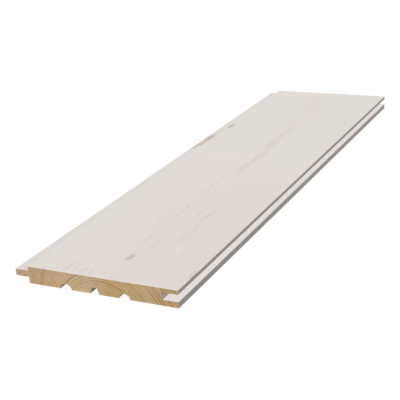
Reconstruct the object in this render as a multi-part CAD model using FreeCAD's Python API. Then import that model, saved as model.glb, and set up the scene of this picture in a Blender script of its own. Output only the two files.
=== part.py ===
import FreeCAD, Part
import os
from FreeCAD import Base, Vector

# Tongue and groove board: one length of planed softwood, lying on its back.
# X runs across the board towards its groove, Y along its length and Z up through its face.
# The origin is under the middle of the board, at the level of its back.

# Board, in millimetres
LENGTH = 440.0              # between the two sawn ends
FACE_WIDTH = 110.0          # of the face, from the shoulder over the tongue to the upper lip
THICKNESS = 12.0
ARRIS_RADIUS = 0.3          # of the eased outer corners along the length

# Joint along the two edges
TONGUE_LENGTH = 10.0        # from the shoulders to the tip
TONGUE_THICKNESS = 4.7
JOINT_DEPTH = 5.25          # from the face to the middle of the tongue and of the groove
SIDE_PLAY = 0.1             # over and under a tongue that lies in the groove
TIP_PLAY = 1.2              # between that tongue's tip and the back of the groove
LIP_SETBACK = 0.25          # of the lower lip, so that the joint closes first at the face

# Relief grooves along the back: a flat-topped one in the middle and a round one each side of it
RELIEF_PITCH = 21.6         # between the middles of neighbouring grooves
FLAT_RELIEF_MOUTH = 6.7
FLAT_RELIEF_TOP = 3.8
FLAT_RELIEF_DEPTH = 4.35
ROUND_RELIEF_RADIUS = 4.5
ROUND_RELIEF_DEPTH = 3.75

# Places across the board
LIP_X = (TONGUE_LENGTH + FACE_WIDTH) / 2
LOWER_LIP_X = LIP_X - LIP_SETBACK
GROOVE_BACK_X = LIP_X - TONGUE_LENGTH - TIP_PLAY
SHOULDER_X = LIP_X - FACE_WIDTH
TIP_X = SHOULDER_X - TONGUE_LENGTH

# Heights above the back
JOINT_Z = THICKNESS - JOINT_DEPTH
TONGUE_TOP_Z = JOINT_Z + TONGUE_THICKNESS / 2
TONGUE_FOOT_Z = JOINT_Z - TONGUE_THICKNESS / 2
GROOVE_TOP_Z = TONGUE_TOP_Z + SIDE_PLAY
GROOVE_FLOOR_Z = TONGUE_FOOT_Z - SIDE_PLAY


def tongue_edge():
    """Corners up the tongue's edge: the lower shoulder, the tongue and the upper shoulder."""
    return [
        (SHOULDER_X, 0),
        (SHOULDER_X, TONGUE_FOOT_Z),
        (TIP_X, TONGUE_FOOT_Z),
        (TIP_X, TONGUE_TOP_Z),
        (SHOULDER_X, TONGUE_TOP_Z),
        (SHOULDER_X, THICKNESS),
    ]


def groove_edge():
    """Corners down the groove's edge: the upper lip, the groove and the lower lip."""
    return [
        (LIP_X, THICKNESS),
        (LIP_X, GROOVE_TOP_Z),
        (GROOVE_BACK_X, GROOVE_TOP_Z),
        (GROOVE_BACK_X, GROOVE_FLOOR_Z),
        (LOWER_LIP_X, GROOVE_FLOOR_Z),
        (LOWER_LIP_X, 0),
    ]


def flat_relief():
    """Corners of the flat-topped relief groove, which leans in from its mouth in the back."""
    return [
        (FLAT_RELIEF_MOUTH / 2, 0),
        (FLAT_RELIEF_TOP / 2, FLAT_RELIEF_DEPTH),
        (-FLAT_RELIEF_TOP / 2, FLAT_RELIEF_DEPTH),
        (-FLAT_RELIEF_MOUTH / 2, 0),
    ]


def near_end_face(*edges):
    """Flat face in the plane of the near end, inside one closed run of edges."""
    face = Part.Face(Part.Wire(edges))
    face.translate(Vector(0, -LENGTH / 2, 0))
    return face


def round_relief(middle_x):
    """Disc that cuts one round relief groove, with its crown at the groove's depth."""
    middle = Vector(middle_x, 0, ROUND_RELIEF_DEPTH - ROUND_RELIEF_RADIUS)
    return near_end_face(Part.makeCircle(ROUND_RELIEF_RADIUS, middle, Vector(0, 1, 0)))


def section():
    """Face of the board's whole section, as the cutters leave it."""
    corners = tongue_edge() + groove_edge() + flat_relief()
    points = [Vector(x, 0, z) for x, z in corners]
    outline = near_end_face(*Part.makePolygon(points, True).Edges)
    reliefs = [round_relief(side * RELIEF_PITCH) for side in (-1, 1)]
    return outline.cut(reliefs).Faces[0]


def arrises(board):
    """Edges along the length at the outer corners that are eased for handling and fitting."""
    inner_corners = [
        (SHOULDER_X, TONGUE_FOOT_Z),
        (SHOULDER_X, TONGUE_TOP_Z),
        (GROOVE_BACK_X, GROOVE_TOP_Z),
        (GROOVE_BACK_X, GROOVE_FLOOR_Z),
    ]
    eased = [corner for corner in tongue_edge() + groove_edge() if corner not in inner_corners]
    middles = [Vector(x, 0, z) for x, z in eased]
    same_place = Base.Precision.confusion()
    return [edge for edge in board.Edges
            if any(edge.CenterOfMass.isEqual(middle, same_place) for middle in middles)]


def make_board():
    """The whole board: its section run along the length, with the arrises taken off."""
    planed = section().extrude(Vector(0, LENGTH, 0))
    return planed.makeFillet(ARRIS_RADIUS, arrises(planed)).Solids[0]


os.makedirs("parts", exist_ok=True)
board = make_board()
board.exportStep("parts/board.step")
print("board", board.ShapeType, "valid" if board.isValid() else "not valid", "solids", len(board.Solids))
print("box", board.BoundBox, "volume", round(board.Volume, 1), "mm3")
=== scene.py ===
# %% [markdown]
# # A tongue and groove board
# The board is one length of planed spruce. Its face, tongue and groove carry a thin white stain,
# and its back and its two sawn ends are bare wood. The packed solid gives the exact section, so
# this lesson only adds what the growth of the tree, a cutter, a saw and a brush leave on it.

# %% Load the packed board
import math
from collections import namedtuple

import bmesh
import bpy
import numpy as np
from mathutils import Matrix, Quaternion, Vector
from mathutils.geometry import delaunay_2d_cdt


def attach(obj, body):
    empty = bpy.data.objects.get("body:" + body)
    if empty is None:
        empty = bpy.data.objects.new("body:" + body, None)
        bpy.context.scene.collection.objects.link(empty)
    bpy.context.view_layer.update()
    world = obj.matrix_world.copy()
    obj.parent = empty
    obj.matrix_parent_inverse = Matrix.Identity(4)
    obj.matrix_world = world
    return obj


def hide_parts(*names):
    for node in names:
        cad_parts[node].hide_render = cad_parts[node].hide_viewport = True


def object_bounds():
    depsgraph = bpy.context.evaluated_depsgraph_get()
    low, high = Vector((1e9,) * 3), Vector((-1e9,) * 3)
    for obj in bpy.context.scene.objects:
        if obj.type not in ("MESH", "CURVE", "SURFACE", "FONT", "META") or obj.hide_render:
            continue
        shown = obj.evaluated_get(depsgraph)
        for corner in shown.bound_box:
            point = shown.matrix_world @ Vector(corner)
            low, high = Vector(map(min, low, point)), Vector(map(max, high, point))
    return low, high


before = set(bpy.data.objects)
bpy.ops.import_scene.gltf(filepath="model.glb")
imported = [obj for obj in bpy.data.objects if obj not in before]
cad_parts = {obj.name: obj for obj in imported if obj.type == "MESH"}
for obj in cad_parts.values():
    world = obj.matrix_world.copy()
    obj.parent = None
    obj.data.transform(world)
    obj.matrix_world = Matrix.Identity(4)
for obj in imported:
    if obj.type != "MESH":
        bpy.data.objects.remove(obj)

cad_low, cad_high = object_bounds()
MM = 0.001
WIDTH, LENGTH, TOP = (cad_high - cad_low) / MM
print(f"board {WIDTH:.1f} wide, {LENGTH:.1f} long and {TOP:.1f} mm thick")

# %% [markdown]
# ## The camera
# The board is seen with a long lens from over the groove's side of its near end, with the horizon
# a little tipped. A camera could be pointed with a constraint. Three angles, a point on the face
# and a distance say the same thing in numbers that can be read and changed one by one.

# %% Place the camera
VIEW_AZIMUTH, VIEW_ELEVATION, VIEW_ROLL = (math.radians(a) for a in (27.748, 21.154, -4.278))
AIM_POINT, AIM_DISTANCE = Vector((6.8, -82.0, 12.0)) * MM, 703.0 * MM
LENS, SENSOR = 85.46, 36.0

camera_data = bpy.data.cameras.new("camera")
camera_data.lens = LENS
camera_data.sensor_width = SENSOR
camera = bpy.data.objects.new("camera", camera_data)
bpy.context.scene.collection.objects.link(camera)
bpy.context.scene.camera = camera
towards_camera = Vector((
    math.sin(VIEW_AZIMUTH) * math.cos(VIEW_ELEVATION),
    -math.cos(VIEW_AZIMUTH) * math.cos(VIEW_ELEVATION),
    math.sin(VIEW_ELEVATION),
))
level_view = towards_camera.to_track_quat("Z", "Y")
camera.rotation_mode = "QUATERNION"
camera.rotation_quaternion = level_view @ Quaternion((0, 0, 1), VIEW_ROLL)
camera.location = AIM_POINT + towards_camera * AIM_DISTANCE
print("camera at", [round(c, 4) for c in camera.location])

# %% [markdown]
# ## Sums with sockets
# A shader is a long sum, and a sum is easiest to read as one. This small class holds one output
# socket. Python's operators on it add Math nodes, and its one general method adds any other node.
# The same class works in material trees and in geometry trees, because they share these nodes. A
# helper beside it turns the colours that a screen shows into the ones that a shader takes.

# %% A socket that can be added, multiplied and mixed
class Wire:
    def __init__(self, socket):
        self.socket = socket

    @staticmethod
    def start(tree, kind, settings=None, sockets=None, output=0):
        """A new node in the tree: first its settings, then the values or links of its sockets."""
        node = tree.nodes.new(kind)
        for name, value in (settings or {}).items():
            if name == "stops":
                Wire.set_stops(node.color_ramp, value)
            else:
                setattr(node, name, value)
        for key, value in (sockets or {}).items():
            if isinstance(value, Wire):
                tree.links.new(value.socket, node.inputs[key])
            else:
                node.inputs[key].default_value = value
        return Wire(node.outputs[output]) if node.outputs else None

    @staticmethod
    def set_stops(ramp, stops):
        """A ramp starts with two stops, so the others are added before all are set."""
        for position in list(stops)[2:]:
            ramp.elements.new(position)
        for element, (position, colour) in zip(ramp.elements, stops.items()):
            element.position = position
            element.color = colour

    def node(self, kind, settings=None, sockets=None, output=0):
        return Wire.start(self.socket.id_data, kind, settings, sockets, output)

    def math(self, operation, *terms):
        return self.node("ShaderNodeMath", {"operation": operation}, dict(enumerate((self, *terms))))

    def vector(self, operation, other=(0, 0, 0), output=0):
        return self.node("ShaderNodeVectorMath", {"operation": operation}, {0: self, 1: other}, output)

    def length(self):
        return self.vector("LENGTH", output="Value")

    def smooth(self, low, high):
        """0 below low, 1 above high, and a soft step between them."""
        sockets = {"Value": self, "From Min": low, "From Max": high}
        return self.node("ShaderNodeMapRange", {"interpolation_type": "SMOOTHSTEP"}, sockets)

    def between(self, off, on):
        """The number off where this mask is 0, on where it is 1, and in proportion between them."""
        return self * (on - off) + off

    def pick(self, off, on):
        """The same for two colours."""
        return self.node("ShaderNodeMix", {"data_type": "RGBA"}, {0: self, 6: off, 7: on}, 2)

    def tone(self, stops):
        """The colour of a ramp with these stops: a share of the way from 0 to 1, and its colour."""
        return self.node("ShaderNodeValToRGB", {"stops": stops}, {0: self})

    def parts(self):
        split = self.node("ShaderNodeSeparateXYZ", {}, {0: self}).socket.node
        return [Wire(socket) for socket in split.outputs]

    def __add__(self, other):
        return self.math("ADD", other)

    def __sub__(self, other):
        return self.math("SUBTRACT", other)

    def __mul__(self, other):
        return self.math("MULTIPLY", other)

    def __truediv__(self, other):
        return self.math("DIVIDE", other)

    def __pow__(self, power):
        return self.math("POWER", power)

    def __rsub__(self, other):
        return self.node("ShaderNodeMath", {"operation": "SUBTRACT"}, {0: other, 1: self})

    def __rtruediv__(self, other):
        return self.node("ShaderNodeMath", {"operation": "DIVIDE"}, {0: other, 1: self})

    __radd__ = __add__
    __rmul__ = __mul__


print("methods of a wire:", ", ".join(name for name in vars(Wire) if not name.startswith("_")))

# %% Colours as a screen shows them
def srgb(red, green, blue):
    """A colour as seen on a screen, from 0 to 255, as the linear colour that a shader takes."""
    levels = [c / 255 for c in (red, green, blue)]
    return [c / 12.92 if c <= 0.04045 else ((c + 0.055) / 1.055) ** 2.4 for c in levels] + [1.0]


print("levels 0 and 255 become", srgb(0, 255, 255)[:2])

# %% [markdown]
# ## The floor
# The board lies on a plain pale floor that goes to white. A plain white floor would throw so much
# light back that the shaded edges would come out too pale. Light Path can tell the camera's rays
# from the rays that carry light, so the camera sees a white floor and the board is lit by a grey one.

# %% Lay the floor
FLOOR_REACH, FLOOR_GIVES_BACK, FLOOR_GLOW = 8.0, 0.34, 0.5
WHITE = (1, 1, 1, 1)


def seen_directly(tree):
    """1 for the camera's rays and for rays in gloss and glass, 0 for the rays that carry light."""
    rays = Wire.start(tree, "ShaderNodeLightPath").socket.node.outputs
    camera_ray, glossy, through = (
        Wire(rays[name]) for name in ("Is Camera Ray", "Is Glossy Ray", "Is Transmission Ray"))
    return camera_ray.math("MAXIMUM", glossy).math("MAXIMUM", through)


def pale_floor():
    material = bpy.data.materials.new("pale floor")
    material.use_nodes = True
    tree = material.node_tree
    tree.nodes.clear()
    grey = (FLOOR_GIVES_BACK, FLOOR_GIVES_BACK, FLOOR_GIVES_BACK, 1)
    glow = Wire.start(tree, "ShaderNodeEmission", {}, {"Color": WHITE, "Strength": 1.0})
    white = Wire.start(tree, "ShaderNodeBsdfDiffuse", {}, {"Color": WHITE})
    dull = Wire.start(tree, "ShaderNodeBsdfDiffuse", {}, {"Color": grey})
    shown = white.node("ShaderNodeMixShader", {}, {0: FLOOR_GLOW, 1: white, 2: glow})
    either = white.node("ShaderNodeMixShader", {}, {0: seen_directly(tree), 1: dull, 2: shown})
    white.node("ShaderNodeOutputMaterial", {}, {"Surface": either})
    return material


floor_mesh = bpy.data.meshes.new("floor")
quarters = ((-1, -1), (1, -1), (1, 1), (-1, 1))
floor_corners = [(a * FLOOR_REACH, b * FLOOR_REACH, 0) for a, b in quarters]
floor_mesh.from_pydata(floor_corners, [], [(0, 1, 2, 3)])
floor_mesh.materials.append(pale_floor())
floor = bpy.data.objects.new("floor", floor_mesh)
bpy.context.scene.collection.objects.link(floor)
print(f"floor {2 * FLOOR_REACH:.0f} m square, gives back {FLOOR_GIVES_BACK} of its light")

# %% [markdown]
# ## Lamps and sky
# A studio lights such a board from so many sides that hardly a shadow is left. Many soft area lamps
# could do the same, but one high lamp that casts no shadow stands for all of them. The sky fills the
# sides and leaves a faint shadow at the board's foot. A weak lamp stands behind the board, level with
# it, so that it reaches the far end and nothing else.

# %% Two lamps
KEY_FROM, REAR_FROM = Vector((-0.05, -0.50, 0.86)).normalized(), Vector((0.0, 1.0, 0.0))
KEY_LEVEL, REAR_LEVEL = 0.70, 0.26
KEY_SPREAD, REAR_SPREAD = math.radians(20), 0.0


def far_lamp(name, source, level, spread, glints):
    """A lamp so far off that its light is even. It casts no shadow, and may leave glints or not."""
    lamp_data = bpy.data.lights.new(name, "SUN")
    lamp_data.energy = math.pi * level
    lamp_data.angle = spread
    lamp_data.use_shadow = False
    lamp = bpy.data.objects.new(name, lamp_data)
    lamp.rotation_mode = "QUATERNION"
    lamp.rotation_quaternion = source.to_track_quat("Z", "Y")
    lamp.visible_glossy = glints
    bpy.context.scene.collection.objects.link(lamp)
    return lamp


high_lamp = far_lamp("high lamp", KEY_FROM, KEY_LEVEL / KEY_FROM.z, KEY_SPREAD, True)
rear_lamp = far_lamp("rear lamp", REAR_FROM, REAR_LEVEL, REAR_SPREAD, False)
print("lamps:", {lamp.name: round(lamp.data.energy, 2) for lamp in (high_lamp, rear_lamp)})

# %% The sky
SKY_LEVEL = 0.30
world = bpy.data.worlds.new("sky")
world.use_nodes = True
world.node_tree.nodes.clear()
strength = seen_directly(world.node_tree).between(SKY_LEVEL, 1)
sky = strength.node("ShaderNodeBackground", {}, {"Color": WHITE, "Strength": strength})
strength.node("ShaderNodeOutputWorld", {}, {"Surface": sky})
bpy.context.scene.world = world
bpy.context.scene.view_settings.view_transform = "Standard"
print(f"lamp {KEY_LEVEL} and sky {SKY_LEVEL} light the face at {KEY_LEVEL + SKY_LEVEL}")

# %% [markdown]
# ## How the tree grew
# The rings of the near end arch over a pith that lies under the middle of the board, and they stand
# upright towards the tongue. A wood picture could be wrapped round the board, but then the end
# would not match the face. Here one sum gives the distance from the pith at any point of the log, in
# millimetres, and every surface cuts through the same rings.

# %% Noise and knots
Knot = namedtuple("Knot", "across along radius lean_across lean_along darkness")
KNOTS = {
    "grey knot": Knot(8.0, -187.0, 2.1, -0.08, -1.8, 0.88),
    "dark knot": Knot(-48.3, 95.4, 1.05, -0.4, -6.5, 1.7),
}
KNOT_GRIT, KNOT_RAGGED = (1.4, 4.0, 1.4), 1.5
KNOT_EDGE, RIM_INSIDE, RIM_OUTSIDE = (0.55, 1.1), (0.5, 0.9), (1.0, 1.7)
KNOT_PUSH, PUSH_FALL = 2.0, 0.3


def cloud(place, size, detail=2.0):
    """Noise from 0 to 1 in lumps of that size: millimetres across, along and through the board."""
    stretched = place.vector("MULTIPLY", [1 / s for s in size])
    sockets = {"Vector": stretched, "Scale": 1.0, "Detail": detail}
    return place.node("ShaderNodeTexNoise", {"noise_dimensions": "3D"}, sockets)


def uneven(place, size, swing=1.0, detail=2.0):
    """The same noise about 0, from half the swing below it to half the swing above it."""
    return (cloud(place, size, detail) - 0.5) * swing


def knots(place):
    """Where the knots are, where their rims are, and how far they push the rings outwards."""
    darkest, rim, push = 0.0, 0.0, 0.0
    ragged = uneven(place, KNOT_GRIT, KNOT_RAGGED)
    for knot in KNOTS.values():
        branch = Vector((knot.lean_across, knot.lean_along, 1.0)).normalized()
        from_face = place.vector("SUBTRACT", (knot.across, knot.along, TOP))
        reach = from_face.vector("CROSS_PRODUCT", branch).length() / knot.radius + ragged
        darkest = (1 - reach.smooth(*KNOT_EDGE)) * knot.darkness + darkest
        rim = reach.smooth(*RIM_INSIDE) * (1 - reach.smooth(*RIM_OUTSIDE)) + rim
        push = KNOT_PUSH / (1 + reach * reach * PUSH_FALL) + push
    return darkest, rim, push


print("knots:", {name: f"{knot.radius} mm in radius" for name, knot in KNOTS.items()})

# %% [markdown]
# Some years laid down much more late wood than others, and they are the lines that the eye follows on
# the end. Noise could choose them, but then they would lie anywhere. They are listed, with a
# strength for each half of the board, because a line often fades as it crosses the middle.

# %% Years with much late wood: distance from the pith, how dark on the tongue's and the groove's side
DARK_YEARS = {
    30.0: (0.4, 0.8),
    36.2: (0.8, 0.5),
    45.3: (0.2, 0.8),
    47.7: (0.2, 0.9),
    49.2: (0.2, 0.6),
    51.0: (0.6, 0.2),
    52.2: (0.5, 0.2),
    53.6: (0.3, 1.0),
    55.2: (0.4, 0.6),
    57.3: (0.4, 0.5),
    59.0: (0.5, 0.5),
    61.2: (0.3, 0.7),
    65.7: (0.9, 0.0),
    68.5: (0.6, 0.0),
}
DARK_YEAR_REACH = 0.65


def dark_years(radius, groove_side):
    """How dark the dark years are. The second wire is 0 on the tongue's side and 1 on the groove's."""
    on_tongue_side, on_groove_side = 0.0, 0.0
    for year, (tongue_dark, groove_dark) in DARK_YEARS.items():
        peak = 1 - (radius - year).math("ABSOLUTE").smooth(0.0, DARK_YEAR_REACH)
        on_tongue_side = peak * tongue_dark + on_tongue_side
        on_groove_side = peak * groove_dark + on_groove_side
    return groove_side.between(on_tongue_side, on_groove_side)


print(f"{len(DARK_YEARS)} dark years, from {min(DARK_YEARS)} to {max(DARK_YEARS)} mm off the pith")

# %% [markdown]
# The other rings are even. In each year the tree grows pale early wood, then late wood that darkens
# slowly and stops at once. A Wave texture has rings too, but it can't stand them upright on one side,
# crowd them near the pith or bend them round a knot, so the radius is worked out step by step.

# %% The shape of the rings
PITH_X, PITH_Z = 5.0, -20.0
UPRIGHT, UPRIGHT_SHIFT = (38.0, 52.0), 7.0
STEM_TAPER = 0.006
WANDER_SIZE, WANDER = (30.0, 320.0, 30.0), 1.6
RIPPLE_SIZE, RIPPLE = (5.0, 60.0, 5.0), 0.6


def ring_radius(place, push):
    """Millimetres from the pith, and the turn about it. The rings stand upright towards the tongue."""
    x, y, z = place.parts()
    aside, height = x - PITH_X, z - PITH_Z
    arched = (aside * aside + height * height) ** 0.5
    radius = (0 - aside).smooth(*UPRIGHT).between(arched, UPRIGHT_SHIFT - aside)
    radius = radius - (y + LENGTH / 2) * STEM_TAPER
    radius = radius + uneven(place, WANDER_SIZE, WANDER) + uneven(place, RIPPLE_SIZE, RIPPLE) + push
    return radius, aside.math("ARCTAN2", height)


print(f"pith {-PITH_Z:.0f} mm below the back, {PITH_X:.0f} mm towards the groove")

# %% The growth of each year
RING_PITCH, RING_START = 2.0, 0.9
CORE_RADIUS, CORE_PITCH = 31.0, 1.35
LATE_SETS_IN, LATE_STOPS = (0.40, 0.88), (0.93, 1.0)
GROOVE_SIDE = (-6.0, 9.0)
PATCH_SIZE, PATCH_EDGE = (7.0, 150.0, 5.0), (0.35, 0.65)
WEAKEST_YEAR, TONGUE_SIDE_LATE, PATCH_LATE = 0.5, 0.55, 0.5


def grow(place):
    """The wood at a place in millimetres: late wood, knots, and where it lies about the pith."""
    knot, rim, push = knots(place)
    radius, turn = ring_radius(place, push)
    in_core = (CORE_RADIUS - radius).math("MAXIMUM", 0.0)
    years = radius / RING_PITCH + RING_START - in_core * (1 / CORE_PITCH - 1 / RING_PITCH)
    season, year = years.math("FRACT"), years.math("FLOOR")
    vigour = place.node("ShaderNodeTexWhiteNoise", {"noise_dimensions": "1D"}, {"W": year})
    patchy = cloud(place, PATCH_SIZE).smooth(*PATCH_EDGE)
    groove_side = place.parts()[0].smooth(*GROOVE_SIDE)
    late = season.smooth(*LATE_SETS_IN) * (1 - season.smooth(*LATE_STOPS))
    late = late * vigour.between(WEAKEST_YEAR, 1) * patchy.between(PATCH_LATE, 1)
    late = late * groove_side.between(TONGUE_SIDE_LATE, 1)
    late = late.math("MAXIMUM", dark_years(radius, groove_side))
    return {"late": late, "knot": knot, "rim": rim, "turn": turn, "radius": radius}


print(f"rings {RING_PITCH} mm apart, and {CORE_PITCH} mm within {CORE_RADIUS} mm of the pith")

# %% [markdown]
# ## The section
# The section is read from the packed solid, so the dressed board can't drift from it. The solid
# has few points on its long flats. Fine grain needs many, so each flat is divided, the face most
# finely because it is seen most, and the crowded points of the small eased arrises are thinned.

# %% Walk round the near end of the solid
SAME_PLACE = 1e-6


def section_corners(solid):
    """The corners of the section, in order, anticlockwise as seen from the near end."""
    shape = bmesh.new()
    shape.from_mesh(solid.data)
    bmesh.ops.remove_doubles(shape, verts=shape.verts, dist=SAME_PLACE)
    at_end = {v for v in shape.verts if v.co.y < cad_low.y + SAME_PLACE}
    beside = {}
    for edge in shape.edges:
        faces_at_end = sum(at_end.issuperset(face.verts) for face in edge.link_faces)
        if at_end.issuperset(edge.verts) and faces_at_end == 1:
            for vert in edge.verts:
                beside.setdefault(vert, []).append(edge.other_vert(vert))
    walk = [min(beside, key=lambda v: (v.co.z, v.co.x))]
    while len(walk) < len(beside):
        walk.append(next(v for v in beside[walk[-1]] if v not in walk[-2:]))
    corners = np.array([(v.co.x, v.co.z) for v in walk]) / MM
    shape.free()
    after = np.roll(corners, -1, 0)
    anticlockwise = np.sum(corners[:, 0] * after[:, 1] - after[:, 0] * corners[:, 1]) > 0
    return corners if anticlockwise else corners[::-1]


solid_corners = section_corners(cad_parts["board"])
print(f"the solid's section has {len(solid_corners)} corners")

# %% Divide the flats
FACE_STEP, OTHER_STEP, LEAST_STEP = 0.5, 0.8, 0.09
LONG_RUN = 10 * LEAST_STEP
ON_FACE = TOP - 0.001


def divided(corners):
    """The same outline with its crowded points thinned and its long runs divided."""
    kept = [corners[0]]
    for corner, after in zip(corners[1:], np.roll(corners, -1, 0)[1:]):
        crowded = np.linalg.norm(corner - kept[-1]) < LEAST_STEP
        if not crowded or np.linalg.norm(after - corner) > LONG_RUN:
            kept.append(corner)
    points = []
    for start, end in zip(kept, np.roll(kept, -1, 0)):
        step = FACE_STEP if min(start[1], end[1]) > ON_FACE else OTHER_STEP
        count = max(1, math.ceil(np.linalg.norm(end - start) / step))
        points += [start + (end - start) * i / count for i in range(count)]
    return np.array(points)


outline = divided(solid_corners)
print(f"the dressed section has {len(outline)} points")

# %% Measure the tongue and the groove
BESIDE, ON_WALL = 1.0, 0.01
across, height = outline.T
SHOULDER, LIP = across[height > ON_FACE].min(), across.max()
TONGUE_TOP = height[across < SHOULDER - BESIDE].max()
groove = outline[(across > WIDTH / 4) & (height > BESIDE) & (height < TOP - BESIDE)]
GROOVE_END = groove[:, 0].min()
heights_at_end = groove[groove[:, 0] < GROOVE_END + ON_WALL, 1]
GROOVE_FLOOR, GROOVE_ROOF = heights_at_end.min(), heights_at_end.max()
print(f"shoulder at {SHOULDER:.2f}, top of the tongue at {TONGUE_TOP:.2f}, lip at {LIP:.2f}")
print(f"groove from {GROOVE_FLOOR:.2f} to {GROOVE_ROOF:.2f} high, its end at {GROOVE_END:.2f}")

# %% [markdown]
# ## The dense board
# A subdivided cube would waste points: grain runs along the board, so it needs many columns and
# few rows. The outline is set up as rows of points along the length, closer at the knots and at
# the ends, where the saw leaves a small broken edge.

# %% Rows along the length
ROW_STEP, FINE_STEP = 6.5, 1.5
END_STEPS = (0.0, 0.15, 0.5, 1.4, 3.2)
SPIKE_ALONG, SPIKE_HALF_LENGTH = 57.5, 27.0
KNOT_MARGIN = 1.4


def row_places():
    half = LENGTH / 2
    places = list(np.arange(-half + ROW_STEP, half - ROW_STEP / 2, ROW_STEP))
    fine = [(k.along, k.radius * math.hypot(1, k.lean_along) * KNOT_MARGIN) for k in KNOTS.values()]
    for along, reach in fine + [(SPIKE_ALONG, SPIKE_HALF_LENGTH)]:
        places = [p for p in places if abs(p - along) > reach + FINE_STEP / 2]
        places += list(np.arange(along - reach, along + reach, FINE_STEP))
    for step in END_STEPS:
        places += [step - half, half - step]
    return np.array(sorted(places))


rows = row_places()
print(f"{len(rows)} rows, {(len(rows) - 1) * len(outline)} faces along the sides")

# %% [markdown]
# The two ends are filled with a fine net of triangles, so that their rings can stand in relief. A
# grid laid inside the outline and joined to it by Delaunay's rule gives even triangles, where a
# plain fill would give long thin ones.

# %% A net for the ends
NET_STEP = 0.45
KEEP_INSIDE, NET_PRECISION = 1, 1e-6


def inside(points, net):
    """Which points of the net lie inside the outline, clear of its edge."""
    found = np.zeros(len(net), bool)
    clear = np.full(len(net), np.inf)
    for start, end in zip(points, np.roll(points, -1, 0)):
        run = end - start
        share = np.clip((net - start) @ run / (run @ run), 0, 1)
        clear = np.minimum(clear, np.linalg.norm(net - start - share[:, None] * run, axis=1))
        if run[1] != 0:
            spans = (net[:, 1] < start[1]) != (net[:, 1] < end[1])
            found ^= spans & (net[:, 0] < start[0] + (net[:, 1] - start[1]) * run[0] / run[1])
    return found & (clear > NET_STEP / 2)


def end_net(points):
    """Points inside the end, and the triangles that join them to the outline's points."""
    xs = np.arange(points[:, 0].min(), points[:, 0].max(), NET_STEP)
    zs = np.arange(0, TOP, NET_STEP * math.sqrt(3) / 2)
    net = np.array([(x + (i % 2) * NET_STEP / 2, z) for i, z in enumerate(zs) for x in xs])
    net = net[inside(points, net)]
    flat = [Vector(p) for p in np.vstack([points, net])]
    loop = list(range(len(points)))
    made = delaunay_2d_cdt(flat, [], [loop], KEEP_INSIDE, NET_PRECISION)
    faces, sources = made[2], made[3]
    return net, np.array([[sources[i][0] for i in face] for face in faces])


net, triangles = end_net(outline)
print(f"each end has {len(triangles)} triangles")

# %% [markdown]
# A saw pulls small splinters off the arris that it leaves. A bevel would be too even for that, so the
# outline of each end is drawn in by chance: hardly at all in most places, and deeper in a few.

# %% Broken edges at the saw cuts
EDGE_EASE, EDGE_CHIP = 0.015, 0.12
CHIP_SPACING, CHIP_RARITY = 5, 4
dice = np.random.default_rng(12)


def chipped(points):
    """The outline at a sawn end, drawn in a little where the saw broke the edge."""
    along = np.roll(points, -1, 0) - np.roll(points, 1, 0)
    along /= np.linalg.norm(along, axis=1)[:, None]
    inward = np.stack([-along[:, 1], along[:, 0]], 1)
    chips = dice.uniform(0, 1, len(points) // CHIP_SPACING) ** CHIP_RARITY
    places = np.linspace(0, len(chips), len(points))
    depth = EDGE_EASE + EDGE_CHIP * np.interp(places, range(len(chips)), chips)
    return points + inward * depth[:, None]


near_outline, far_outline = chipped(outline), chipped(outline)
deepest = np.linalg.norm(near_outline - outline, axis=1).max()
print(f"the deepest chip at the near end is {deepest:.3f} mm")

# %% [markdown]
# Rows and nets now become one closed mesh. An extrusion would make one row at a time. Counting is
# quicker: a face takes two neighbours in one row and the same two in the next, and the end nets
# share the points of the first and the last row, so that no seam is left.

# %% Points and faces of the whole board
def at_row(points, y):
    return np.stack([points[:, 0], np.full(len(points), y), points[:, 1]], 1)


def board_mesh():
    """The sides as rows of four-cornered faces, then the triangles of the near and the far end."""
    count, last = len(outline), len(rows) - 1
    rings = [near_outline] + [outline] * (last - 1) + [far_outline]
    points = [at_row(ring, y) for ring, y in zip(rings, rows)]
    points += [at_row(net, rows[0]), at_row(net, rows[-1])]
    start = np.arange(last)[:, None] * count
    i, j = np.arange(count), np.roll(np.arange(count), -1)
    sides = np.stack([start + j, start + i, start + count + i, start + count + j], -1).reshape(-1, 4)
    near_net, far_net = (last + 1) * count, (last + 1) * count + len(net)
    on_edge = triangles < count
    near = np.where(on_edge, triangles, triangles - count + near_net)
    far = np.where(on_edge, triangles + last * count, triangles - count + far_net)[:, ::-1]
    mesh = bpy.data.meshes.new("stained_board")
    mesh.from_pydata(np.vstack(points) * MM, [], sides.tolist() + near.tolist() + far.tolist())
    return mesh, len(sides), len(near)


mesh, side_count, end_count = board_mesh()
print("mended by Blender:", mesh.validate(), "triangles:", 2 * side_count + 2 * end_count)

# %% [markdown]
# ## A flat pattern
# An exported model carries its finish as a picture, laid out by a UV map. Blender could unwrap the
# board by itself, but its sides are a strip that unrolls exactly: once round the section and along
# the length. The two ends lie above the strip, larger than life, because their rings are fine.

# %% Unroll the board
SIDE_SHARE, END_SHARE, GUTTER = 0.78, 0.095, 0.012


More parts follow.
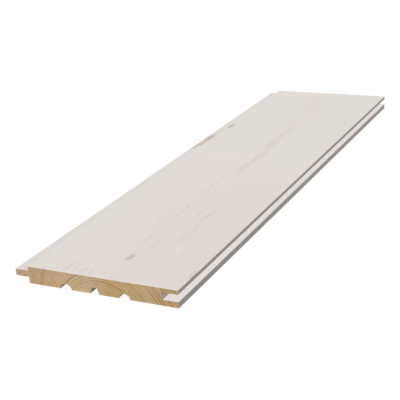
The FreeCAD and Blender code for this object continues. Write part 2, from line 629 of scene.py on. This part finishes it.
def unrolled():
    """The place of each face corner in the pattern, in the order of the mesh's faces."""
    count, last = len(outline), len(rows) - 1
    steps = np.linalg.norm(np.roll(outline, -1, 0) - outline, axis=1)
    u = np.concatenate([[0], np.cumsum(steps)]) / steps.sum()
    v = (rows - rows[0]) / LENGTH * SIDE_SHARE
    i, row = np.arange(count)[None, :], np.arange(last)[:, None]
    corners = [(row, i + 1), (row, i), (row + 1, i), (row + 1, i + 1)]
    places = [np.stack(np.broadcast_arrays(u[c], v[r]), -1) for r, c in corners]
    sides = np.stack(places, 2).reshape(-1, 2)
    flat = np.vstack([outline, net])
    flat = np.stack([flat[:, 0] / WIDTH + 0.5, flat[:, 1] / TOP * END_SHARE], 1)
    lift = SIDE_SHARE + GUTTER
    near = flat[triangles.ravel()] + (0, lift)
    far = flat[triangles[:, ::-1].ravel()] + (0, lift + END_SHARE + GUTTER)
    return np.vstack([sides, near, far])


corner_places = unrolled()
pattern = mesh.uv_layers.new(name="OFBake")
pattern.uv.foreach_set("vector", corner_places.astype(np.float32).ravel())
print("pattern corners:", len(pattern.uv), "highest", round(float(corner_places.max()), 3))

# %% [markdown]
# ## Three finishes on one piece
# The stain is on the face and the edges, and the back and the ends stay bare. The board could be cut
# into three objects, but it is one piece of stock, so the faces of one mesh are shared out among
# three finishes. The back is what lies lowest, and what lies in the relief grooves near its middle.

# %% Share out the faces
FINISHES = ("white stain", "bare back", "sawn end")
BACK_HEIGHT, RELIEF_REACH, RELIEF_HEIGHT = 0.02, 30.0, 6.0
SHARP_FROM = math.radians(40)


def finish_numbers():
    middles = np.zeros(3 * len(mesh.polygons))
    mesh.polygons.foreach_get("center", middles)
    x, _, z = middles.reshape(-1, 3).T / MM
    on_back = (z < BACK_HEIGHT) | ((abs(x) < RELIEF_REACH) & (z < RELIEF_HEIGHT))
    on_end = np.arange(len(x)) >= side_count
    stain, back, end = range(len(FINISHES))
    return np.where(on_end, end, np.where(on_back, back, stain))


finish_of_face = finish_numbers()
mesh.polygons.foreach_set("material_index", finish_of_face.astype(np.int32))
mesh.polygons.foreach_set("use_smooth", np.ones(len(mesh.polygons), bool))
mesh.set_sharp_from_angle(angle=SHARP_FROM)
board = bpy.data.objects.new("stained_board", mesh)
bpy.context.scene.collection.objects.link(board)
print({name: int((finish_of_face == i).sum()) for i, name in enumerate(FINISHES)})

# %% [markdown]
# ## Grain in relief
# Planing leaves the hard late wood a little proud of the soft early wood, and it has torn a knot
# that lies along the top of the tongue. Bump would only shade them. Geometry nodes can move the
# points by the same rings that the colours use, and only inwards, so that the board keeps its size.

# %% The spike knot on the tongue
SPIKE_ACROSS, SPIKE_HALF_WIDTH, SPIKE_DEPTH = -56.4, 5.2, 0.2
SPIKE_LEAN, SPIKE_TILT, SPIKE_BACK = 0.11, 2.0, 2.3
SPIKE_GRIT, SPIKE_RAGGED, SPIKE_EDGE = (1.5, 7.0, 1.5), 0.9, (0.6, 1.1)
SPIKE_RISES, SPIKE_STOPS = (TONGUE_TOP - 3.0, TONGUE_TOP - 0.5), (TONGUE_TOP + 0.5, TONGUE_TOP + 2.0)


def along_spike(place):
    """Millimetres along the knot from its middle, which lies further back where it is higher."""
    _, y, z = place.parts()
    return y - SPIKE_ALONG + (z - TONGUE_TOP) * SPIKE_BACK


def spike_knot(place):
    """1 where the knot lies on the tongue, 0 elsewhere. It runs aslant, from the tip to the shoulder."""
    x, _, z = place.parts()
    along = along_spike(place)
    middle = SPIKE_ACROSS + along * SPIKE_LEAN + (z - TONGUE_TOP) * SPIKE_TILT
    across = (x - middle) / SPIKE_HALF_WIDTH
    along = along / SPIKE_HALF_LENGTH
    reach = (across * across + along * along) ** 0.5 + uneven(place, SPIKE_GRIT, SPIKE_RAGGED)
    on_top = z.smooth(*SPIKE_RISES) * (1 - z.smooth(*SPIKE_STOPS))
    return (1 - reach.smooth(*SPIKE_EDGE)) * on_top


print(f"spike knot {2 * SPIKE_HALF_LENGTH:.0f} mm long, torn {SPIKE_DEPTH} mm deep")

# %% Sink the early wood
FLAT_RELIEF, END_RELIEF = 0.03, 0.09
TURNED_TO_END = (0.3, 0.8)


def relief_tree():
    tree = bpy.data.node_groups.new("grain relief", "GeometryNodeTree")
    for side in ("INPUT", "OUTPUT"):
        tree.interface.new_socket("Geometry", in_out=side, socket_type="NodeSocketGeometry")
    plain = Wire.start(tree, "NodeGroupInput")
    place = Wire.start(tree, "GeometryNodeInputPosition").vector("DIVIDE", (MM, MM, MM))
    normal = Wire.start(tree, "GeometryNodeInputNormal")
    wood = grow(place)
    facing_end = normal.parts()[1]
    on_end = (facing_end * facing_end).smooth(*TURNED_TO_END)
    sunk = 1 - wood["late"].math("MAXIMUM", wood["knot"]).math("MINIMUM", 1.0)
    depth = sunk * on_end.between(FLAT_RELIEF, END_RELIEF) + spike_knot(place) * SPIKE_DEPTH
    inward = {0: normal, "Scale": depth * -MM}
    offset = normal.node("ShaderNodeVectorMath", {"operation": "SCALE"}, inward)
    carved = normal.node("GeometryNodeSetPosition", {}, {"Geometry": plain, "Offset": offset})
    normal.node("NodeGroupOutput", {}, {0: carved})
    return tree


carving = board.modifiers.new("grain relief", "NODES")
carving.node_group = relief_tree()
carved = bpy.data.meshes.new_from_object(board.evaluated_get(bpy.context.evaluated_depsgraph_get()))
board.modifiers.clear()
board.data = carved
print("carved points:", len(carved.vertices))

# %% [markdown]
# ## Materials
# Each finish starts from the place of a point in the log, in millimetres. Painted pictures could
# carry the colours, but they have seams and only so many dots. Here the colours are worked out from
# the rings, and one Principled shader takes the colour, the roughness and a bump for marks that are
# finer than the mesh.

# %% The start and the end of every finish
GLOSS = 0.15


def new_finish(name):
    material = bpy.data.materials.new(name)
    material.use_nodes = True
    material.node_tree.nodes.clear()
    place = Wire.start(material.node_tree, "ShaderNodeTexCoord", {}, {}, "Object")
    return material, place.vector("DIVIDE", (MM, MM, MM))


def coat(material, colour, roughness, height, depth):
    """The shader of a finish, with a bump that is so many millimetres deep."""
    bump = height.node("ShaderNodeBump", {}, {"Height": height, "Distance": depth * MM, "Strength": 1.0})
    sockets = {"Base Color": colour, "Roughness": roughness, "Normal": bump, "Specular IOR Level": GLOSS}
    shader = height.node("ShaderNodeBsdfPrincipled", {}, sockets)
    height.node("ShaderNodeOutputMaterial", {}, {"Surface": shader})
    return material


print(f"every finish has a specular level of {GLOSS}")

# %% [markdown]
# ## Sawn ends
# A saw cuts the fibres across, and the open ends drink in light, so the ends are darker than any
# other side and show every ring. The wood is palest near the pith and most golden towards the
# groove. A picture of end grain could be laid on, but these rings have to meet those of the face.

# %% Tones of the sawn wood, and where each is across the board
END_STRAW, END_PALE = srgb(221, 192, 151), srgb(224, 199, 157)
END_GOLD, END_HONEY = srgb(222, 193, 142), srgb(223, 195, 149)
END_TONES = {
    -28.0: END_STRAW,
    -12.0: END_PALE,
    3.0: END_PALE,
    10.0: END_GOLD,
    24.0: END_GOLD,
    36.0: END_HONEY,
}
END_FLUSH, END_FLUSH_SIZE, END_FLUSH_EDGE = srgb(226, 188, 154), (7.0, 90.0, 4.0), (0.40, 0.65)
END_FLUSH_SHARE = 0.35


def sawn_tone(place):
    """The colour of the early wood across the end, with a pink flush here and there."""
    share = place.parts()[0] / WIDTH + 0.5
    tone = share.tone({x / WIDTH + 0.5: colour for x, colour in END_TONES.items()})
    flush = cloud(place, END_FLUSH_SIZE).smooth(*END_FLUSH_EDGE)
    return (flush * END_FLUSH_SHARE).pick(tone, END_FLUSH)


print(f"{len(END_TONES)} tones across the sawn ends")

# %% [markdown]
# Over that tone go the dark lines of the late wood, fine rays that run out from the pith, upright
# marks of the saw, and specks. The two lips by the groove are a little darker than the rest.

# %% Bare wood on the sawn ends
END_LATE = srgb(146, 100, 28)
RAY_TURNS, RAY_REACH, RAY_SIZE = 150, 0.2, (1.0, 1.0, 1.0)
SAW_SIZE, SPECK_SIZE, TONE_SIZE = (0.7, 50.0, 14.0), (0.9, 50.0, 1.3), (14.0, 90.0, 9.0)
EVEN_DARK, LATE_DARK, TONE_DARK, RAY_DARK, SAW_DARK, SPECK_DARK = 0.03, 0.85, 0.2, 0.3, 0.15, 0.36
LIPS_ACROSS, LIPS_DARK = (GROOVE_END - 6.0, GROOVE_END + 1.0), 0.04
UPPER_LIP_ACROSS, UPPER_LIP_DARK = (GROOVE_END - 1.0, GROOVE_END + 1.0), 0.08
UPPER_LIP_HEIGHT = (GROOVE_ROOF - 1.0, GROOVE_ROOF)
END_ROUGH, END_LATE_SMOOTHER, END_LATE_PROUD, END_BUMP = 0.85, 0.1, 0.5, 0.06


def lip_shade(place):
    """How much darker the ends of the two lips are."""
    x, _, z = place.parts()
    upper = x.smooth(*UPPER_LIP_ACROSS) * z.smooth(*UPPER_LIP_HEIGHT)
    return x.smooth(*LIPS_ACROSS) * LIPS_DARK + upper * UPPER_LIP_DARK


def sawn_end():
    material, place = new_finish("sawn end")
    wood = grow(place)
    across_rays = {0: wood["turn"] * RAY_TURNS, 1: wood["radius"] * RAY_REACH, 2: 0.0}
    rays = uneven(place.node("ShaderNodeCombineXYZ", {}, across_rays), RAY_SIZE, RAY_DARK)
    saw = uneven(place, SAW_SIZE)
    dark = wood["late"] * LATE_DARK + lip_shade(place) + EVEN_DARK + rays + saw * SAW_DARK
    dark = dark + uneven(place, TONE_SIZE, TONE_DARK) + uneven(place, SPECK_SIZE, SPECK_DARK)
    colour = dark.math("MAXIMUM", wood["knot"]).pick(sawn_tone(place), END_LATE)
    roughness = END_ROUGH - wood["late"] * END_LATE_SMOOTHER
    return coat(material, colour, roughness, saw + wood["late"] * END_LATE_PROUD, END_BUMP)


sawn_finish = sawn_end()
print("nodes in the sawn end:", len(sawn_finish.node_tree.nodes))

# %% [markdown]
# ## Bare back
# The back is planed and left bare: pale straw with warmer late wood and brown knots. The cutter's
# knives leave a fine even ripple along the length, which is too shallow for the mesh and so becomes
# bump. A little stain strays round the edges and, as a thin grey mist, into the relief grooves.

# %% Stain that strayed onto the back
STRAY_STAIN, RELIEF_MIST = srgb(226, 219, 213), srgb(212, 201, 192)
STRAY_SIZE, STRAY_RAGGED, STRAY_EDGE, STRAY_SHARE = (3.0, 9.0, 3.0), 6.0, (47.5, 60.0), 0.6
MIST_HEIGHT, MIST_SIDE, MIST_LEFT, MIST_RIGHT = (0.2, 1.2), (5.0, 20.0), 0.8, 0.3


def strayed(place, colour):
    """The colour of the back, with stain at its edges and mist in its relief grooves."""
    x, _, z = place.parts()
    edge = (x.math("ABSOLUTE") + uneven(place, STRAY_SIZE, STRAY_RAGGED)).smooth(*STRAY_EDGE)
    colour = (edge * STRAY_SHARE).pick(colour, STRAY_STAIN)
    misty = z.smooth(*MIST_HEIGHT) * x.smooth(*MIST_SIDE).between(MIST_LEFT, MIST_RIGHT)
    return misty.pick(colour, RELIEF_MIST)


print(f"stain strays onto the back from {STRAY_EDGE[0]} mm off its middle")

# %% Bare wood on the back and in the relief grooves
BACK_EARLY, BACK_LATE = srgb(224, 197, 156), srgb(186, 143, 96)
BACK_KNOT, BACK_RIM = srgb(148, 98, 60), srgb(92, 58, 38)
BACK_FIBRE_SIZE, BACK_TONE_SIZE, FIBRE_DETAIL = (0.3, 14.0, 0.3), (18.0, 140.0, 18.0), 3.0
BACK_LATE_SHARE, BACK_FIBRE_SHARE, BACK_TONE_SHARE, BACK_RIM_SHARE = 0.9, 0.5, 0.5, 0.6
KNIFE_PITCH, KNIFE_DEPTH, BACK_BUMP = 1.7, 0.06, 0.04
BACK_ROUGH, BACK_LATE_SMOOTHER = 0.75, 0.12


def bare_back():
    material, place = new_finish("bare back")
    wood = grow(place)
    fibre = uneven(place, BACK_FIBRE_SIZE, detail=FIBRE_DETAIL)
    warm = wood["late"] * BACK_LATE_SHARE + fibre * BACK_FIBRE_SHARE
    colour = (warm + uneven(place, BACK_TONE_SIZE, BACK_TONE_SHARE)).pick(BACK_EARLY, BACK_LATE)
    colour = wood["knot"].pick(colour, BACK_KNOT)
    colour = (wood["rim"] * BACK_RIM_SHARE).pick(colour, BACK_RIM)
    knives = (place.parts()[1] * (2 * math.pi / KNIFE_PITCH)).math("SINE")
    roughness = BACK_ROUGH - wood["late"] * BACK_LATE_SMOOTHER
    return coat(material, strayed(place, colour), roughness, fibre + knives * KNIFE_DEPTH, BACK_BUMP)


back_finish = bare_back()
print("nodes in the bare back:", len(back_finish.node_tree.nodes))

# %% [markdown]
# ## White stain
# The stain is thin, so the wood still shows where it was brushed out: late wood as a breath of
# tan, knots as grey spots, and here and there a streak or a row of dashes. Noise alone would scatter
# them anywhere, so each such mark is one soft long patch, listed one by one, and some of the patches are
# broken up by noise along the grain.

# %% Tan marks: across, along, half width, half length, and strength
TAN_MARKS = {
    "start of the long streak": (10.4, -14.0, 3.6, 16.0, 0.20),
    "long streak, first part": (10.2, 4.0, 4.2, 18.0, 0.20),
    "long streak, middle": (10.6, 27.0, 4.8, 22.0, 0.22),
    "long streak, far part": (9.6, 54.0, 5.2, 20.0, 0.24),
    "end of the long streak": (8.4, 86.0, 5.0, 24.0, 0.15),
    "first thread in the streak": (8.6, -4.0, 0.9, 13.0, 0.24),
    "second thread in the streak": (9.6, 13.0, 0.9, 8.0, 0.26),
    "third thread in the streak": (7.6, 56.0, 1.2, 14.0, 0.22),
    "rim of the dark knot": (-45.8, 91.0, 1.8, 6.0, 0.30),
    "patch at the near end": (-11.5, -212.8, 2.6, 6.5, 0.26),
    "near patch": (13.0, -165.0, 3.8, 12.0, 0.16),
    "first right patch": (27.0, -148.0, 3.4, 9.0, 0.14),
    "middle right patch": (29.0, -131.0, 4.4, 10.0, 0.14),
    "second right patch": (26.0, -113.0, 3.6, 15.0, 0.20),
    "left patch": (-2.5, -118.0, 3.6, 24.0, 0.13),
    "patch at the lip": (50.0, 122.0, 7.0, 18.0, 0.04),
    "far patch": (-2.0, 185.0, 12.0, 36.0, 0.06),
}
BROKEN_MARKS = {
    "row of dashes near the end": (-23.6, -210.5, 1.6, 12.0, 0.42),
    "row of dashes": (30.8, -146.0, 1.8, 20.0, 0.20),
}
MARK_EDGE = (0.3, 1.0)


def marks(place, table):
    """All the marks of a table in one mask."""
    total = 0.0
    for across, along, half_width, half_length, strength in table.values():
        from_middle = place.vector("SUBTRACT", (across, along, TOP))
        scaled = from_middle.vector("DIVIDE", (half_width, half_length, half_width))
        total = (1 - scaled.length().smooth(*MARK_EDGE)) * strength + total
    return total


print(f"{len(TAN_MARKS)} tan marks and {len(BROKEN_MARKS)} broken ones")

# %% Grey marks, in the same order
GREY_MARKS = {
    "dotted line, near part": (4.2, -148.0, 1.5, 30.0, 0.16),
    "dotted line, middle": (4.2, -105.0, 1.5, 36.0, 0.20),
    "dotted line, far part": (2.8, -50.0, 1.4, 40.0, 0.16),
    "start of the fine line": (19.0, -127.0, 1.1, 10.0, 0.13),
    "fine line": (18.2, -106.0, 1.7, 20.0, 0.12),
    "end of the fine line": (18.8, -76.0, 1.6, 18.0, 0.06),
    "line over the right patch": (27.0, -105.0, 1.2, 13.0, 0.12),
    "low dashes": (22.0, -177.0, 1.2, 9.0, 0.13),
    "high dashes": (33.8, -160.0, 1.1, 8.0, 0.11),
    "thread near the end": (-18.2, -209.0, 1.1, 10.0, 0.16),
    "left flecks": (-31.5, 66.0, 1.4, 6.0, 0.11),
    "more left flecks": (-33.5, 76.0, 1.2, 6.0, 0.09),
    "far flecks": (18.0, 110.0, 1.2, 8.0, 0.10),
    "upper far dashes": (13.6, 147.0, 1.1, 10.0, 0.14),
    "lower far dashes": (6.0, 145.0, 1.1, 12.0, 0.09),
    # This entry greys the face by the lip's edge near the near end.
    "grey patch at the lip": (58.4, -198.0, 2.6, 9.0, 0.40),
}
SCRATCHES = {
    "first scratch": (-5.3, -214.8, 1.0, 5.0, 0.26),
    "second scratch": (4.3, -211.8, 1.0, 4.2, 0.18),
    "third scratch": (10.6, -216.4, 1.0, 4.0, 0.14),
    "last scratch": (19.3, -209.0, 1.0, 5.5, 0.10),
}
print(f"{len(GREY_MARKS)} grey marks along the grain and {len(SCRATCHES)} scratches aslant")

# %% Pale marks, where the stain is thick, in the same order
PALE_MARKS = {
    "near pale dashes": (22.0, -176.0, 1.6, 7.0, 0.36),
    "right pale dashes": (32.4, -164.0, 1.9, 16.0, 0.40),
    "next pale dashes": (31.0, -137.0, 1.8, 8.0, 0.36),
    "pale flecks by the streak": (15.8, 62.0, 2.2, 14.0, 0.50),
    "far pale flecks": (15.4, 104.0, 2.2, 16.0, 0.42),
    "last pale flecks": (13.2, 142.0, 2.2, 16.0, 0.42),
}
print(f"{len(PALE_MARKS)} pale marks")

# %% [markdown]
# Where the stain covers well it is not one flat white. It blushes a little along the middle of the
# near half, is warmer on the groove's side of it and a shade darker far off. One colour with noise
# would look dusty, so these tints are broad soft areas that fade into each other.

# %% Tints of the stain
STAIN, STAIN_FAR = srgb(224, 218, 213), srgb(223, 217, 212)
STAIN_PINK, STAIN_WARM = srgb(225, 217, 212), srgb(223, 215, 209)
FAR_ALONG = (0.0, 90.0)
BLUSH_MIDDLE, BLUSH_ACROSS, BLUSH_ALONG = -10.0, (14.0, 32.0), (-20.0, 60.0)
BLUSH_SIZE, BLUSH_RAGGED = (28.0, 70.0, 28.0), 60.0
WARM_ACROSS, WARM_ALONG = (-15.0, 30.0), (-110.0, 40.0)


def stain_tint(place):
    """The colour of the stain where nothing shows through it."""
    x, y, _ = place.parts()
    off_middle = (x - BLUSH_MIDDLE).math("ABSOLUTE") + uneven(place, BLUSH_SIZE, BLUSH_RAGGED)
    blush = (1 - off_middle.smooth(*BLUSH_ACROSS)) * (1 - y.smooth(*BLUSH_ALONG))
    warm = x.smooth(*WARM_ACROSS) * (1 - y.smooth(*WARM_ALONG))
    plain = y.smooth(*FAR_ALONG).pick(STAIN, STAIN_FAR)
    return warm.pick(blush.pick(plain, STAIN_PINK), STAIN_WARM)


print(f"the stain blushes up to {BLUSH_ACROSS[1]:.0f} mm from a line {-BLUSH_MIDDLE:.0f} mm off the middle")

# %% [markdown]
# The groove got less stain than the face, and its floor is cool. Its end wall is painted greyer: painted
# shade deep in the groove. The marks and the wood under the stain then tone the face towards tan, pale or
# grey, each by its own mask.

# %% Stain in the groove
# The second colour is painted shade for the groove's end wall, greyer deep in the groove.
GROOVE_STAIN, GROOVE_END_SHADE = srgb(222, 218, 216), srgb(207, 197, 193)
OVER_FLOOR, OVER_ROOF = (GROOVE_FLOOR - 0.3, GROOVE_FLOOR - 0.1), (GROOVE_ROOF + 0.1, GROOVE_ROOF + 0.3)
IN_GROOVE, OFF_END_WALL = (GROOVE_END - 0.8, GROOVE_END - 0.2), (GROOVE_END + 0.1, GROOVE_END + 0.6)


def groove_stain(place, colour):
    """The colour of the stain, with that of the groove's floor and roof put in, and painted shade on its
    end wall.
    """
    x, _, z = place.parts()
    in_groove = x.smooth(*IN_GROOVE) * z.smooth(*OVER_FLOOR) * (1 - z.smooth(*OVER_ROOF))
    at_end = 1 - x.smooth(*OFF_END_WALL)
    # The end wall gets the grey of painted shade.
    return in_groove.pick(colour, at_end.pick(GROOVE_STAIN, GROOVE_END_SHADE))


print(f"groove stained from {GROOVE_FLOOR:.2f} to {GROOVE_ROOF:.2f} mm high")

# %% Tan and pale wood on the face
STAIN_THIN, STAIN_THICK = srgb(200, 182, 162), srgb(242, 233, 224)
THIN_SIZE, THIN_EDGE, THIN_LATE, COVERED_LATE = (22.0, 120.0, 22.0), (0.35, 0.70), 0.11, 0.03
FIBRE_SIZE, FIBRE_SHARE = (0.25, 16.0, 0.25), 0.08
DASH_SIZE, DASH_EDGE = (0.9, 5.0, 0.9), (0.40, 0.56)
SWAY_SIZE, SWAY = (400.0, 28.0, 400.0), 2.4


def moved_across(place, distance):
    offset = place.node("ShaderNodeCombineXYZ", {}, {0: distance, 1: 0.0, 2: 0.0})
    return place.vector("ADD", offset)


def brushed_out(place, swayed, wood, fibre, dashes):
    """The stain with tan wood showing where it is thin, and whiter where it is thick."""
    thin = cloud(place, THIN_SIZE).smooth(*THIN_EDGE)
    shown = wood["late"] * thin.between(COVERED_LATE, THIN_LATE) + fibre * FIBRE_SHARE
    shown = shown + marks(swayed, TAN_MARKS) * (1 + fibre) + marks(swayed, BROKEN_MARKS) * dashes
    colour = shown.pick(stain_tint(place), STAIN_THIN)
    return (marks(swayed, PALE_MARKS) * (1 - dashes)).pick(colour, STAIN_THICK)


print(f"late wood shows by {COVERED_LATE} under the stain, and by {THIN_LATE} where it is thin")

# %% Grey wood, and painted shade on the tongue and the lip's edge
# The lip colour is painted shade. It darkens the outward edges of the two lips, which face away from the
# lamp.
GREY_WOOD, LIP_EDGE_SHADE, LIP_EDGE_SHADE_SHARE = srgb(150, 131, 125), srgb(216, 170, 158), 0.1
ON_LIP, OFF_TONGUE = (LIP - 0.22, LIP - 0.1), (SHOULDER - 0.6, SHOULDER - 0.2)
MOTTLE_SIZE, KNOT_PALEST, KNOT_DARKEST, RIM_GREY = (1.2, 3.0, 1.2), 0.15, 0.80, 0.12
# The tongue's grey is partly thinner stain and partly painted shade beside the shoulder, and it is stronger
# towards the near end.
TONGUE_ALONG, TONGUE_NEAR_GREY_AND_SHADE, TONGUE_FAR_GREY_AND_SHADE = (-160.0, 40.0), 0.065, 0.03
SCRATCH_SLANT, SCRATCH_ROW = 0.38, -214.0


def greyed(place, swayed, wood, dashes, colour):
    """The colour with grey put in at the knots, along the grey marks and scratches, and on the tongue as
    thinner stain and painted shade, with painted shade on the lip's edge.
    """
    x, y, _ = place.parts()
    on_lip = x.smooth(*ON_LIP)
    on_tongue = 1 - x.smooth(*OFF_TONGUE)
    mottled = cloud(place, MOTTLE_SIZE).between(KNOT_PALEST, KNOT_DARKEST)
    grey = wood["knot"] * mottled + wood["rim"] * RIM_GREY
    # Thinner stain and painted shade on the tongue.
    grey = grey + on_tongue * y.smooth(*TONGUE_ALONG).between(TONGUE_NEAR_GREY_AND_SHADE, TONGUE_FAR_GREY_AND_SHADE)
    slanted = moved_across(place, (y - SCRATCH_ROW) * SCRATCH_SLANT)
    grey = grey + marks(swayed, GREY_MARKS) * dashes + marks(slanted, SCRATCHES)
    # Painted shade on the lip's edge, then the grey.
    return grey.pick((on_lip * LIP_EDGE_SHADE_SHARE).pick(colour, LIP_EDGE_SHADE), GREY_WOOD)


print(f"the tongue's grey fades from {TONGUE_NEAR_GREY_AND_SHADE} to {TONGUE_FAR_GREY_AND_SHADE} along the board")

# %% [markdown]
# The spike knot shows most of all, because the stain did not hold on its torn fibres. It is grey and
# amber at its near end and brown further on, so a ramp along its length gives its colour, and the mask
# that carved it says where.

# %% Tones along the spike knot, from its near end
SPIKE_GREY, SPIKE_AMBER, SPIKE_TAN = srgb(193, 188, 184), srgb(214, 185, 168), srgb(208, 196, 187)
SPIKE_BROWN, SPIKE_FADED = srgb(187, 174, 166), srgb(203, 189, 184)
SPIKE_TONES = {
    0.28: SPIKE_GREY,
    0.36: SPIKE_AMBER,
    0.44: SPIKE_TAN,
    0.66: SPIKE_BROWN,
    0.82: SPIKE_FADED,
}
SPIKE_SHARE = 0.9


def spiked(place, colour):
    share = along_spike(place) / (2 * SPIKE_HALF_LENGTH) + 0.5
    return (spike_knot(place) * SPIKE_SHARE).pick(colour, share.tone(SPIKE_TONES))


print(f"{len(SPIKE_TONES)} tones along the spike knot")

# %% Stain on the face, the tongue and the groove
STAIN_ROUGH, STAIN_LATE_SMOOTHER, STAIN_BUMP = 0.62, 0.08, 0.02


def white_stain():
    material, place = new_finish("white stain")
    wood = grow(place)
    swayed = moved_across(place, uneven(place, SWAY_SIZE, SWAY))
    dashes = cloud(place, DASH_SIZE).smooth(*DASH_EDGE)
    fibre = uneven(place, FIBRE_SIZE, detail=FIBRE_DETAIL)
    colour = groove_stain(place, brushed_out(place, swayed, wood, fibre, dashes))
    colour = spiked(place, greyed(place, swayed, wood, dashes, colour))
    return coat(material, colour, STAIN_ROUGH - wood["late"] * STAIN_LATE_SMOOTHER, fibre, STAIN_BUMP)


stain_finish = white_stain()
print("nodes in the white stain:", len(stain_finish.node_tree.nodes))

# %% Give the board its finishes
for finish in (stain_finish, back_finish, sawn_finish):
    carved.materials.append(finish)
print("finishes:", [finish.name for finish in carved.materials])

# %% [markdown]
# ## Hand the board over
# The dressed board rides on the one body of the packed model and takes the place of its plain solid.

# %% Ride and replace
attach(board, "root")
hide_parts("board")
